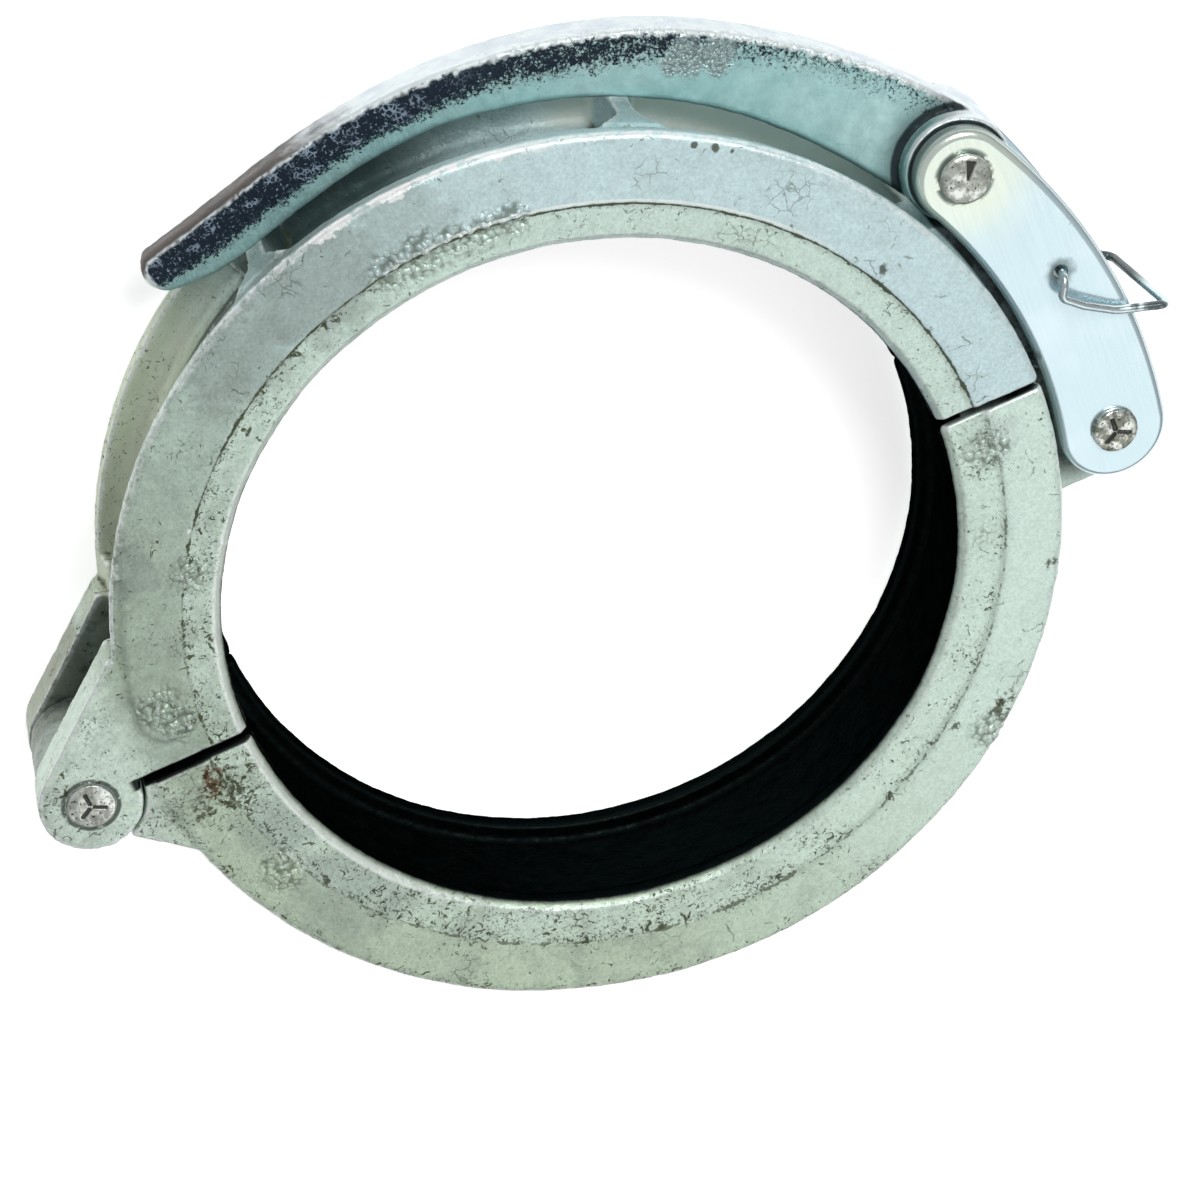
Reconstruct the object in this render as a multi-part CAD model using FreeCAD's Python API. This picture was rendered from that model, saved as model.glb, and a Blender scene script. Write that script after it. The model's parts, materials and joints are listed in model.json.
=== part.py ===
import FreeCAD, Part
import math
import os

# Frame: origin at the bore's centre, half way between the two faces. X runs along the joint between
# the halves towards the lever's closing side, Y towards the upper half, Z along the pipe towards the viewer.
# All sizes in millimetres, angles in degrees about the bore from +X.

# Ring
bore_r = 110.0
groove_r = 115.5
ring_out_r = 143.0
half_width = 27.5
face_z = 26.5
lip_in_z = 18.5
bore_chamfer = 2.2
upper_band_r = 121.5
lower_band_r = 124.0
rim_in_z = 14.5
rim_foot_r = 139.3
channel_floor_r = 128.0
channel_slope = 2.5
thin_rim_z = 22.6
thin_floor_r = 130.0
thin_floor_round = 7.0
thin_from = 115.0
thin_to = 158.0
reach = 200.0

# Joint between the halves
joint_y = 3.5
joint_gap = 2.0
corner_chamfer = 1.4
end_wall = 7.0
end_wall_r = 138.5

# Rounded end of the raised band beside the hinge
tongue_out_r = 138.5
tongue_turn = 170.8
tongue_from = 151.0
tongue_to = 184.0

# Ribs across the channel
rib_angles = (64.0, 110.4)
rib_half = 2.9
rib_drop = 2.2
rib_top_r = ring_out_r - rib_drop
rib_foot_r = 125.0
rib_flare = 6.5
rib_straight_z = 8.0
rib_bend = 8.0

# Hinge
hinge_at = (-161.0, joint_y)
hinge_lug_r = 15.5
centre_lug_r = 15.0
centre_lug_z = 12.0
side_gap = 0.3
pocket_floor_r = 133.0
pocket_round = 4.0
pocket_lap = 3.0
pocket_to = 200.0
seat_gap = 0.7
hinge_pin_r = 6.5
hinge_head_r = 7.2
hinge_head = 0.8
run_clear = 0.05
cheek_lean = 130.2
cheek_top = (-136.4, 44.9)
cheek_foot_r = 133.5
cheek_foot_x = -122.0
wing_out = (-163.0, -4.6)
wing_corner = (-138.4, -27.5)
wing_foot = (-120.0, -32.0)
wing_round = 3.0
web_corner = (-142.0, -24.0)
web_foot = (-124.0, -30.0)

# Link, with its two pins
link_in_z = 14.5
link_out_z = 20.0
link_edge_round = 2.6
link_back_round = 0.6
link_off_ring = 2.0
link_width = 31.5
link_inner_r = ring_out_r + link_off_ring
link_outer_r = link_inner_r + link_width
lever_pin_at = (142.3, 71.3)
latch_pin_at = (159.6, -25.6)
lever_end_r = 14.3
latch_end_r = 16.5
link_pin_r = 6.5
lever_head_r = 7.6
latch_head_r = 7.0
link_head = 2.0
stake_depth = 0.5
stake_long = 4.4
stake_wide = 1.3
stake_from = 0.4
latch_lug_r = 16.2
latch_lug_y = -42.0
latch_root_x = 122.0
latch_step = (144.0, 0.5)
latch_drop = 6.5
latch_bend = 8.0
latch_shoulder = (3.5, 9.0)

# Lever
lever_half = 9.0
boss_half = link_in_z - side_gap
boss_r = 16.0
boss_round = 1.2
nose_at = (153.2, 44.6)
nose_r = 8.0
nose_clear = 0.6
boss_clear = 0.8
lever_round = 2.0
lever_draft = 2.2
lever_tip_bulge = 4.2
lever_taper = ((32.0, lever_half), (-24.0, 6.3), (-84.0, 4.3))
lever_root_reach = 15.0
# Each point of the lever's edges: turn round the bore, then height over the ring
lever_inner = ((119.3, 7.9), (115.6, 2.3), (110.0, -0.5), (103.0, -0.6), (86.0, 2.4),
               (70.0, 2.4), (51.0, 0.8), (36.0, -0.8), (28.0, 0.0))
lever_outer = ((118.1, 21.0), (111.5, 17.4), (106.0, 16.2), (96.0, 16.7), (77.0, 19.9),
               (61.0, 23.0), (48.0, 25.2), (37.0, 28.6), (28.0, 32.0))

# Catch for the lever's nose on the upper half
catch_half = 12.0
catch_out_x = 157.5
catch_root_x = 118.0
catch_over = 12.0
catch_chin = (4.0, 6.0)
catch_cheek = (12.0, 4.0)
catch_lip = (0.6, 0.8)
catch_back = (16.0, 5.0)

# Safety clip
wire_r = 1.35
clip_at = (159.6, 30.8)
clip_hole_r = 2.2
clip_shy = 0.6
# Each point of the wire: across and up from its hole, height over the plate, bend radius
clip_curl = ((0.0, 0.0, 4.2, 3.0), (-3.0, -5.8, 4.4, 2.4), (2.6, -11.5, 3.6, 4.0), (11.5, -18.2, 2.2, 12.0),
             (26.3, -23.4, 2.2, 2.6))
clip_rear = ((23.8, -26.3, 2.2, 2.6), (11.5, -18.2, 2.2, 12.0), (0.0, 0.0, 3.4, 3.0))


def vec(x, y, z=0.0):
    return FreeCAD.Vector(x, y, z)


def polar(angle, radius, z=0.0):
    a = math.radians(angle)
    return vec(radius * math.cos(a), radius * math.sin(a), z)


def bent(points, closed):
    """Edges of a run of straight lines; each point is (vector, corner radius)."""
    count = len(points)
    ends = []
    arcs = []
    for i, (p, r) in enumerate(points):
        if r <= 0 or (not closed and i in (0, count - 1)):
            ends.append((p, p))
            arcs.append(None)
            continue
        a = (points[i - 1][0] - p).normalize()
        b = (points[(i + 1) % count][0] - p).normalize()
        half = a.getAngle(b) / 2
        cut = r / math.tan(half)
        middle = p + (a + b).normalize() * (r / math.sin(half))
        start = p + a * cut
        end = p + b * cut
        top = middle + (p - middle).normalize() * r
        ends.append((start, end))
        arcs.append(Part.Arc(start, top, end).toShape())
    edges = []
    for i in range(count):
        if arcs[i]:
            edges.append(arcs[i])
        if i == count - 1 and not closed:
            break
        start = ends[i][1]
        end = ends[(i + 1) % count][0]
        if (end - start).Length > 1e-6:
            edges.append(Part.makeLine(start, end))
    return edges


def outline(points):
    return Part.Face(Part.Wire(bent([(vec(x, y), r) for x, y, r in points], True)))


def raised(face, low, high):
    lifted = face.copy()
    lifted.translate(vec(0, 0, low))
    return lifted.extrude(vec(0, 0, high - low))


def disc(at, radius, low, high):
    return Part.makeCylinder(radius, high - low, vec(at[0], at[1], low))


def turned(points):
    """Solid of revolution about the bore's axis; each point is (radius, z, corner radius)."""
    profile = Part.Face(Part.Wire(bent([(vec(r, 0, z), c) for r, z, c in points], True)))
    return profile.revolve(vec(0, 0, 0), vec(0, 0, 1), 360)


def wedge(start, end, low, high):
    far = 2 * reach
    steps = max(2, int(abs(end - start) / 60) + 2)
    corners = [vec(0, 0)]
    for i in range(steps):
        corners.append(polar(start + (end - start) * i / (steps - 1), far))
    corners.append(corners[0])
    return raised(Part.Face(Part.makePolygon(corners)), low, high)


def tangent_hull(c1, r1, c2, r2):
    """Face round two circles, with the two outer tangents."""
    a = vec(c1[0], c1[1])
    b = vec(c2[0], c2[1])
    along = b - a
    length = along.Length
    base = math.degrees(math.atan2(along.y, along.x))
    lean = math.degrees(math.acos((r1 - r2) / length))
    left1 = a + polar(base + lean, r1)
    left2 = b + polar(base + lean, r2)
    right1 = a + polar(base - lean, r1)
    right2 = b + polar(base - lean, r2)
    edges = [Part.makeLine(left1, left2),
             Part.Arc(left2, b + polar(base, r2), right2).toShape(),
             Part.makeLine(right2, right1),
             Part.Arc(right1, a + polar(base + 180, r1), left1).toShape()]
    return Part.Face(Part.Wire(edges))


def ring_body(band_r):
    half = [
        (groove_r, lip_in_z, 1.5),
        (bore_r, lip_in_z, 0.8),
        (bore_r, face_z - bore_chamfer, 0),
        (bore_r + bore_chamfer, face_z, 0.5),
        (band_r - 0.5, face_z, 0),
        (band_r + 0.5, half_width, 0.4),
        (ring_out_r, half_width, 2.2),
        (rim_foot_r, rim_in_z, 2.4),
        (channel_floor_r, rim_in_z - channel_slope, 5.5),
    ]
    back = [(r, -z, c) for r, z, c in reversed(half)]
    return turned(half + back)


def thin_rim_pocket(start, end):
    """Where the rims are thin, the channel is wider, with a softly rounded floor."""
    side = [(reach, thin_rim_z + 1.5, 0), (thin_floor_r, thin_rim_z - 1.0, thin_floor_round)]
    body = turned([(r, z, c) for r, z, c in side] + [(r, -z, c) for r, z, c in reversed(side)])
    return body.common(wedge(start, end, -reach, reach))


def rib(angle):
    near = rib_straight_z
    far = rim_in_z + 2.0
    wide = rib_half + rib_flare
    corners = [(-rib_half, -near, rib_bend), (-rib_half, near, rib_bend), (-wide, far, 0), (wide, far, 0),
               (rib_half, near, rib_bend), (rib_half, -near, rib_bend), (wide, -far, 0), (-wide, -far, 0)]
    plan = Part.Face(Part.Wire(bent([(vec(rib_foot_r, t, z), c) for t, z, c in corners], True)))
    body = plan.extrude(vec(rib_top_r - rib_foot_r, 0, 0))
    body.rotate(vec(0, 0, 0), vec(0, 0, 1), angle)
    return body


def side_box(above):
    size = 2 * reach
    if above:
        return Part.makeBox(size, size, size, vec(-reach, joint_y + joint_gap / 2, -reach))
    return Part.makeBox(size, size, size, vec(-reach, joint_y - joint_gap / 2 - size, -reach))


def closing_wall(above):
    """The channel is closed by a wall where the two halves meet on the closing side."""
    edge = joint_y + joint_gap / 2 if above else joint_y - joint_gap / 2 - end_wall
    block = Part.makeBox(reach, end_wall, 2 * rim_in_z + 2, vec(0, edge, -rim_in_z - 1))
    shell = disc((0, 0), end_wall_r, -reach, reach).cut(disc((0, 0), groove_r + 2, -reach, reach))
    return block.common(shell)


def hinge_cheek():
    """Outline of one fork lug of the upper half: the lug and its straight shoulder."""
    hx, hy = hinge_at
    touch = vec(hx, hy) + polar(cheek_lean, hinge_lug_r)
    top = vec(*cheek_top)
    foot = vec(*cheek_top).normalize() * cheek_foot_r
    low = joint_y + joint_gap / 2
    shoulder = outline([(touch.x, touch.y, 0), (top.x, top.y, 0), (foot.x, foot.y, 0), (cheek_foot_x, low, 0),
                        (hx, low, 0), (hx, hy, 0)])
    return shoulder.fuse(Part.Face(Part.Wire(Part.makeCircle(hinge_lug_r, vec(hx, hy)))))


def hinge_pocket():
    """Open pocket between the fork lugs, down to the ring."""
    wide = centre_lug_z + side_gap
    floor = [(pocket_floor_r, wide, pocket_round), (pocket_floor_r, -wide, pocket_round)]
    body = turned([(reach, wide, 0)] + floor + [(reach, -wide, 0)])
    return body.common(wedge(thin_to - pocket_lap, pocket_to, -reach, reach))


def upper_band_end():
    """Near the hinge the raised band of the front face ends in a rounded tongue."""
    top = half_width + (half_width - face_z)
    middle = (upper_band_r + tongue_out_r) / 2
    cut = disc((0, 0), reach, face_z, top).cut(disc((0, 0), upper_band_r - 0.5, face_z, top))
    cut = cut.common(wedge(tongue_from, tongue_to, 0, reach))
    keep = disc((0, 0), tongue_out_r, face_z, top).common(wedge(tongue_from - 6.0, tongue_turn, 0, reach))
    tip = polar(tongue_turn, middle)
    keep = keep.fuse(disc((tip.x, tip.y), tongue_out_r - middle, face_z, top))
    return cut.cut(keep)


def catch_block():
    """Lug between the rims that carries the lever's nose in an open notch."""
    nx, ny = nose_at
    floor = ny - nose_r - nose_clear
    low = joint_y + joint_gap / 2
    chin, chin_round = catch_chin
    cheek, cheek_round = catch_cheek
    lip, lip_round = catch_lip
    back, back_round = catch_back
    body = outline([(catch_root_x, low, 0), (catch_out_x - chin, low, chin_round),
                    (catch_out_x, floor - cheek, cheek_round), (nx - lip, floor, lip_round),
                    (nx - lip, ny + nose_r, 0), (nx - back, ny + catch_over, back_round),
                    (catch_root_x, ny + catch_over, 0)])
    body = raised(body, -catch_half, catch_half)
    notch_r = nose_r + nose_clear
    notch = disc(nose_at, notch_r, -reach, reach)
    open_side = raised(outline([(nx, floor, 0), (nx + 40, floor, 0), (nx + 40, ny + 40, 0),
                                (nx - notch_r, ny + 40, 0), (nx - notch_r, ny, 0)]), -reach, reach)
    hull = raised(tangent_hull(lever_pin_at, boss_r + boss_clear, nose_at, notch_r), -reach, reach)
    return body.cut(notch).cut(open_side).cut(hull)


def upper_half():
    body = ring_body(upper_band_r).common(side_box(True))
    body = body.cut(thin_rim_pocket(thin_from, thin_to))
    for angle in rib_angles:
        body = body.fuse(rib(angle))
    body = body.fuse(closing_wall(True)).fuse(catch_block())
    cheek = raised(hinge_cheek(), -face_z, face_z)
    body = body.fuse(cheek.cut(disc((0, 0), groove_r + 3, -reach, reach)))
    wide = centre_lug_z + side_gap
    body = body.cut(disc(hinge_at, centre_lug_r + seat_gap, -wide, wide))
    body = body.cut(hinge_pocket())
    body = body.cut(disc(hinge_at, hinge_pin_r + run_clear, -reach, reach))
    body = body.cut(upper_band_end())
    return body.removeSplitter()


def hinge_wing():
    """Full-width wing of the lower half beside the hinge, hollowed round the fork lugs."""
    low = joint_y - joint_gap / 2
    return outline([(*wing_out, 0), (*wing_corner, wing_round), (*wing_foot, 0), (wing_foot[0], low, 0),
                    (wing_out[0], low, 0)])


def latch_lug():
    qx, qy = latch_pin_at
    low = joint_y - joint_gap / 2
    step_x, step_y = latch_step
    back, up = latch_shoulder
    side = qx + latch_lug_r
    arm = outline([(latch_root_x, latch_lug_y, 0), (qx, latch_lug_y, 0), (side, qy, 0),
                   (side - back, qy + up, 0), (qx - latch_bend, low - latch_drop, latch_bend),
                   (step_x, low - step_y, 0), (latch_root_x, low - step_y, 0)])
    end = Part.Face(Part.Wire(Part.makeCircle(latch_lug_r, vec(qx, qy))))
    far = qx + reach
    corners = [vec(qx, -reach), vec(far, -reach), vec(far, reach), vec(qx, reach)]
    box = Part.Face(Part.makePolygon(corners + corners[:1]))
    return arm.cut(box.cut(end)).fuse(end)


def lower_half():
    body = ring_body(lower_band_r).common(side_box(False))
    body = body.cut(thin_rim_pocket(-thin_to, -thin_from))
    for angle in rib_angles:
        body = body.fuse(rib(-angle))
    body = body.fuse(closing_wall(False))
    hollow = disc((0, 0), groove_r + 3, -reach, reach)
    lug = raised(latch_lug(), -boss_half, boss_half)
    thick = rim_in_z + 1.5
    root = raised(latch_lug(), -thick, thick).common(disc((0, 0), rib_top_r, -reach, reach))
    body = body.fuse(lug.fuse(root).cut(hollow))
    body = body.cut(disc(latch_pin_at, link_pin_r + run_clear, -reach, reach))
    wing = raised(hinge_wing(), -face_z, face_z).cut(hollow)
    seat = disc(hinge_at, hinge_lug_r + seat_gap, -reach, reach)
    inner = disc(hinge_at, reach, -centre_lug_z, centre_lug_z)
    body = body.fuse(wing).cut(seat.cut(inner))
    low = joint_y - joint_gap / 2
    hx, hy = hinge_at
    under = vec(hx, hy) + polar(225.0, centre_lug_r)
    web = outline([(under.x, under.y, 0), (*web_corner, 0), (*web_foot, 0), (web_foot[0], low, 0),
                   (hx, low, 0), (hx, hy, 0)])
    centre = web.fuse(Part.Face(Part.Wire(Part.makeCircle(centre_lug_r, vec(hx, hy)))))
    body = body.fuse(raised(centre, -centre_lug_z, centre_lug_z).cut(hollow))
    body = body.cut(disc(hinge_at, hinge_pin_r + run_clear, -reach, reach))
    over = corner_chamfer + 1
    nick = outline([(bore_r - 1, low - over, 0), (bore_r + over, low + 1, 0), (bore_r - 1, low + 1, 0)])
    return body.cut(raised(nick, -reach, reach)).removeSplitter()


def stake_marks(at, z):
    """Three short grooves left by the staking tool in a pin's end."""
    marks = []
    for angle in (90, 210, 330):
        corner = vec(stake_from, -stake_wide / 2, -stake_depth)
        bar = Part.makeBox(stake_long, stake_wide, 2 * stake_depth, corner)
        bar.rotate(vec(0, 0, 0), vec(0, 0, 1), angle)
        bar.translate(vec(at[0], at[1], z))
        marks.append(bar)
    return marks


def pin(at, radius, shank_z, head_r, head, staked):
    body = disc(at, radius, -shank_z, shank_z)
    for side in (-1, 1):
        top = side * (shank_z + head)
        cap = disc(at, head_r, min(side * shank_z, top), max(side * shank_z, top))
        rims = []
        for e in cap.Edges:
            if max(abs(e.BoundBox.ZMin - top), abs(e.BoundBox.ZMax - top)) < 1e-6:
                rims.append(e)
        cap = cap.makeFillet(head * 0.45, rims)
        if staked:
            for mark in stake_marks(at, top):
                cap = cap.cut(mark)
        body = body.fuse(cap)
    return body.removeSplitter()


def meet(c1, r1, c2, r2, near):
    """The crossing of two circles that lies nearer to a point."""
    a = vec(c1[0], c1[1])
    b = vec(c2[0], c2[1])
    along = b - a
    d = along.Length
    t = (r1 * r1 - r2 * r2 + d * d) / (2 * d)
    off = math.sqrt(r1 * r1 - t * t)
    along.normalize()
    side = vec(-along.y, along.x)
    found = [a + along * t + side * off, a + along * t - side * off]
    return min(found, key=lambda p: (p - near).Length)


def link_plate(front):
    l_pin = vec(*lever_pin_at)
    q_pin = vec(*latch_pin_at)
    near = vec(0, 0)
    out_c = meet(lever_pin_at, link_outer_r - lever_end_r, latch_pin_at, link_outer_r - latch_end_r, near)
    in_c = meet(lever_pin_at, link_inner_r + lever_end_r, latch_pin_at, link_inner_r + latch_end_r, near)
    to_l = (l_pin - out_c).normalize()
    to_q = (q_pin - out_c).normalize()
    out_l = out_c + to_l * link_outer_r
    out_q = out_c + to_q * link_outer_r
    out_m = out_c + (to_l + to_q).normalize() * link_outer_r
    back_l = (l_pin - in_c).normalize()
    back_q = (q_pin - in_c).normalize()
    in_l = in_c + back_l * link_inner_r
    in_q = in_c + back_q * link_inner_r
    in_m = in_c + (back_l + back_q).normalize() * link_inner_r
    across_l = vec(-to_l.y, to_l.x)
    across_q = vec(to_q.y, -to_q.x)
    edges = [Part.Arc(out_q, out_m, out_l).toShape(),
             Part.Arc(out_l, l_pin + across_l * lever_end_r, in_l).toShape(),
             Part.Arc(in_l, in_m, in_q).toShape(),
             Part.Arc(in_q, q_pin + across_q * latch_end_r, out_q).toShape()]
    body = raised(Part.Face(Part.Wire(edges)), link_in_z, link_out_z)
    top = [e for e in body.Edges if e.BoundBox.ZMin > link_out_z - 1e-6]
    body = body.makeFillet(link_edge_round, top)
    low = [e for e in body.Edges if e.BoundBox.ZMax < link_in_z + 1e-6]
    body = body.makeFillet(link_back_round, low)
    for at in (lever_pin_at, latch_pin_at):
        body = body.cut(disc(at, link_pin_r + run_clear, -reach, reach))
    body = body.cut(disc(clip_at, clip_hole_r, -reach, reach))
    if front:
        return body
    return body.mirror(vec(0, 0, 0), vec(0, 0, 1))


def spline(pairs):
    curve = Part.BSplineCurve()
    curve.interpolate([polar(angle, radius) for angle, radius in pairs])
    return curve.toShape()


def lever_outline(drop, z):
    """Closed outline of the lever's bar at one side; drop lowers the outer edge."""
    inner_points = [(angle, ring_out_r + height) for angle, height in lever_inner]
    outer_points = [(angle, ring_out_r + height - drop) for angle, height in lever_outer]
    tip_in = polar(*inner_points[0])
    tip_out = polar(*outer_points[0])
    across = (tip_out - tip_in).normalize()
    tip = (tip_in + tip_out) * 0.5 + vec(-across.y, across.x) * lever_tip_bulge
    edges = [spline(outer_points), Part.Arc(tip_out, tip, tip_in).toShape(), spline(inner_points),
             Part.makeLine(polar(*inner_points[-1]), polar(*outer_points[-1]))]
    wire = Part.Wire(Part.__sortEdges__(edges))
    wire.translate(vec(0, 0, z))
    return wire


def lever():
    bar = Part.makeLoft([lever_outline(lever_draft, -lever_half), lever_outline(0, lever_half)], True, True)
    start, middle, end = [vec(x, 0, z) for x, z in lever_taper]
    over = vec(end.x, 0, reach)
    back = vec(start.x, 0, reach)
    edges = [Part.Arc(start, middle, end).toShape(), Part.makeLine(end, over), Part.makeLine(over, back),
             Part.makeLine(back, start)]
    side = Part.Face(Part.Wire(edges)).extrude(vec(0, reach, 0))
    bar = bar.cut(side).cut(side.mirror(vec(0, 0, 0), vec(0, 0, 1)))
    root_turn = lever_inner[-1][0]
    root = polar(root_turn, ring_out_r + (lever_inner[-1][1] + lever_outer[-1][1]) / 2)
    rims = []
    for e in bar.Edges:
        middle = e.CenterOfMass
        along = e.BoundBox.XMax - e.BoundBox.XMin
        near_root = (vec(middle.x, middle.y) - root).Length < lever_root_reach
        if not near_root and along > 1.0 and abs(middle.z) > 1.0:
            rims.append(e)
    bar = bar.makeFillet(lever_round, rims)
    boss = raised(tangent_hull(lever_pin_at, boss_r, nose_at, nose_r), -boss_half, boss_half)
    edge = [e for e in boss.Edges if e.BoundBox.ZMax - e.BoundBox.ZMin < 1e-6]
    boss = boss.makeFillet(boss_round, edge)
    body = bar.fuse(boss)
    return body.cut(disc(lever_pin_at, link_pin_r + run_clear, -reach, reach)).removeSplitter()


def safety_clip():
    cx, cy = clip_at
    end_z = link_in_z + clip_shy
    path = [(cx, cy, end_z, 0)]
    for x, y, over, bend in clip_curl:
        path.append((cx + x, cy + y, link_out_z + over, bend))
    for x, y, over, bend in clip_rear:
        path.append((cx + x, cy + y, -link_out_z - over, bend))
    path.append((cx, cy, -end_z, 0))
    spine = Part.Wire(bent([(vec(x, y, z), r) for x, y, z, r in path], False))
    ring = Part.Wire(Part.makeCircle(wire_r, vec(cx, cy, end_z), vec(0, 0, 1)))
    return spine.makePipeShell([ring], True, True)


os.makedirs("parts", exist_ok=True)
pieces = {
    "upper_half": upper_half(),
    "lower_half": lower_half(),
    "hinge_pin": pin(hinge_at, hinge_pin_r, face_z, hinge_head_r, hinge_head, True),
    "lever": lever(),
    "front_link_plate": link_plate(True),
    "rear_link_plate": link_plate(False),
    "lever_link_pin": pin(lever_pin_at, link_pin_r, link_out_z, lever_head_r, link_head, False),
    "latch_pin": pin(latch_pin_at, link_pin_r, link_out_z, latch_head_r, link_head, True),
    "safety_clip": safety_clip(),
}
for name, shape in pieces.items():
    solids = shape.Solids
    print(name, len(solids), shape.isValid(), round(shape.Volume / 1000, 2), "cm3", shape.BoundBox)
    if len(solids) != 1 or not shape.isValid():
        raise SystemExit(name + " is not one sound solid")
    solids[0].exportStep("parts/" + name + ".step")
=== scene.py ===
"""Looks of a hinged pipe coupling: two castings, lever, link plates, pins and wire clip, on a pale stage."""

import json
import math
from collections import namedtuple

import bpy
import numpy as np
from mathutils import Euler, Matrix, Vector

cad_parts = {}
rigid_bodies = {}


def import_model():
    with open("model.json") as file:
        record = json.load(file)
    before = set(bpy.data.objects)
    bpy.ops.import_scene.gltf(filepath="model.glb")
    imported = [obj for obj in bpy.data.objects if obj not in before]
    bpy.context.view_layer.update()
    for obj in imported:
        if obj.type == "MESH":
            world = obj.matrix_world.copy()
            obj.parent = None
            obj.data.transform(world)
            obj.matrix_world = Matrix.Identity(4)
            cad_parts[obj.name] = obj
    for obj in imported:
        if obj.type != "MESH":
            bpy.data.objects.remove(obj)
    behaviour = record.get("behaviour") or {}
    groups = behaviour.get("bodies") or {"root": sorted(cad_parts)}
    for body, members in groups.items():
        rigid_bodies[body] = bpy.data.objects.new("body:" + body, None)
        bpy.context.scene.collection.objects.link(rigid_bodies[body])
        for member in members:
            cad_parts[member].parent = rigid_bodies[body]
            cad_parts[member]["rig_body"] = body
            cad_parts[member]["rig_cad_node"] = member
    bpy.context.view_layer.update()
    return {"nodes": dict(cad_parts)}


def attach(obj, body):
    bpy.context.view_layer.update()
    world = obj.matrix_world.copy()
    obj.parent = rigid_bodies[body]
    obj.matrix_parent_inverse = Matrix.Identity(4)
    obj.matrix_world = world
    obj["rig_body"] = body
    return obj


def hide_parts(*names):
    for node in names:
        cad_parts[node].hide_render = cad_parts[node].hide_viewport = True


bl_info = {
    "name": "Pipe Coupling Looks",
    "version": (1, 0, 0),
    "blender": (4, 5, 0),
    "location": "3D View > Sidebar > Coupling",
    "description": "Gives a packed pipe coupling its cast, plated and bright steel finishes",
    "category": "Object",
}

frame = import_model()

MM = 0.001

# Places on the coupling, in millimetres from the bore's centre
HALF_WIDTH = 27.5
JOINT_HEIGHT = 3.5
HINGE = Vector((-161.0, 3.5, 0.0))
LEVER_PIN = Vector((142.3, 71.3, 0.0))
LATCH_PIN = Vector((159.6, -25.6, 0.0))
CLIP_HOLE = Vector((159.6, 30.8, 0.0))

# Skins: limits of the meshes, and how the stored values are worked out
MERGE_DISTANCE = 1e-6
MOST_TRIANGLES = 190000
SPOT_SLOPE = 1.6
FAINTEST_WEIGHT = 0.02
SHORTEST_EDGE = 1e-4
SHARPEST_BEND = 0.35
OWN_SHARE_OF_BEND = 0.4
SLICE_OF_BAR = 1.0

# Pin heads, in millimetres: the dome, and the wedge notch that one of them has
DOME_RADIUS = 7.0
HEAD_THICKNESS = 1.2
WEDGE_HEADING = math.radians(58.0)
WEDGE_LENGTH = 5.8
WEDGE_START = 0.3
WEDGE_SPREAD = 0.24
WEDGE_FADE = 0.4

# Stage, in metres and degrees
FLOOR_SIZE = 8.0
CAMERA_PLACE = (0.005319, 0.517645, 0.880264)
CAMERA_TURN = (-29.2330, -11.9763, -21.0182)
SENSOR_WIDTH = 36.0
KEY_LAMP = ((0.70, 0.95, 1.35), 0.8)
FILL_LAMP = ((0.25, -1.35, 1.5), 1.7)

# Colours of single marks; the main colours of each finish are in the panel
WHITE = (1.0, 1.0, 1.0)
BLACK = (0.0, 0.0, 0.0)
HINGE_EYE = (0.74, 0.89, 0.78)
BAND_ON_LEFT = (0.66, 0.81, 0.69)
SMUDGE = (0.27, 0.32, 0.27)
ROUND_SMUDGE = (0.27, 0.325, 0.30)
CHANNEL_SHADE = (0.035, 0.066, 0.066)
CHANNEL_PAINTED_LIGHT = (0.76, 0.82, 0.64)
CHANNEL_SHADOW = (0.06, 0.075, 0.065)
REAR_CHEEK = (0.34, 0.37, 0.28)
GREEN_DIRT = (0.040, 0.058, 0.018)
CHIPPED_EDGE = (0.86, 0.92, 0.91)
SCUFFED_LIT_RIM = (0.97, 0.98, 0.97)
LIT_EDGE = (0.88, 0.95, 0.90)
LIT_REAR_WALL = (0.94, 0.96, 0.86)
POCKET_SHADE = (0.05, 0.075, 0.075)
HINGE_RING_DARK = (0.02, 0.028, 0.024)
RUST_CORE = (0.055, 0.035, 0.016)
MOSS = (0.044, 0.046, 0.017)
LIGHT_TEAL = (0.42, 0.66, 0.65)
LIT_TEAL_BY_BOSS = (0.60, 0.80, 0.78)
THIN_PLATING = (0.44, 0.54, 0.55)
FACE_SPECKS = (0.085, 0.14, 0.145)
TIP_GLINTS = (0.34, 0.44, 0.55)
PEBBLE = (0.56, 0.68, 0.68)
BETWEEN_PEBBLES = (0.09, 0.15, 0.15)
DARK_STREAK = (0.10, 0.19, 0.21)
LIGHT_STREAK = (0.42, 0.62, 0.62)
LIT_TOP_BLUE = (0.66, 0.74, 0.80)
DEEP_RUST = (0.035, 0.024, 0.019)
LOWER_EDGE_SHADOW = (0.015, 0.03, 0.035)
CORNER_SHADOW = (0.008, 0.016, 0.02)
BLUE_PLATE = (0.68, 0.81, 0.87)
PLATE_DIRT_AND_SHADE = (0.10, 0.15, 0.14)
PIN_BLOTCH = (0.20, 0.21, 0.16)
PIN_DARK_MARKS = (0.02, 0.022, 0.018)
DARK_WIRE = (0.03, 0.045, 0.045)

# Where looks fade in, are full and fade out on the castings: four radii, turns or distances across
CHANNEL_RADII = (124.0, 126.0, 139.0, 140.5)
SHADY_TURNS = (72.0, 96.0, 110.0, 116.0)
SHADOWED_TURNS = (112.0, 116.0, 122.0, 140.0)
PAINTED_LIGHT_ACROSS = (-150.0, -128.0, -95.0, -50.0)
SCUFFED_LIT_TURNS = (68.0, 84.0, 102.0, 116.0)
LIT_TURNS = (28.0, 48.0, 84.0, 104.0)
REAR_WALL_TURNS = (16.0, 28.0, 68.0, 76.0)
LINK_RADII = (141.6, 142.6, 149.0, 157.0)
LINK_TURNS = (-18.0, -12.0, 36.0, 42.0)


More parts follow.
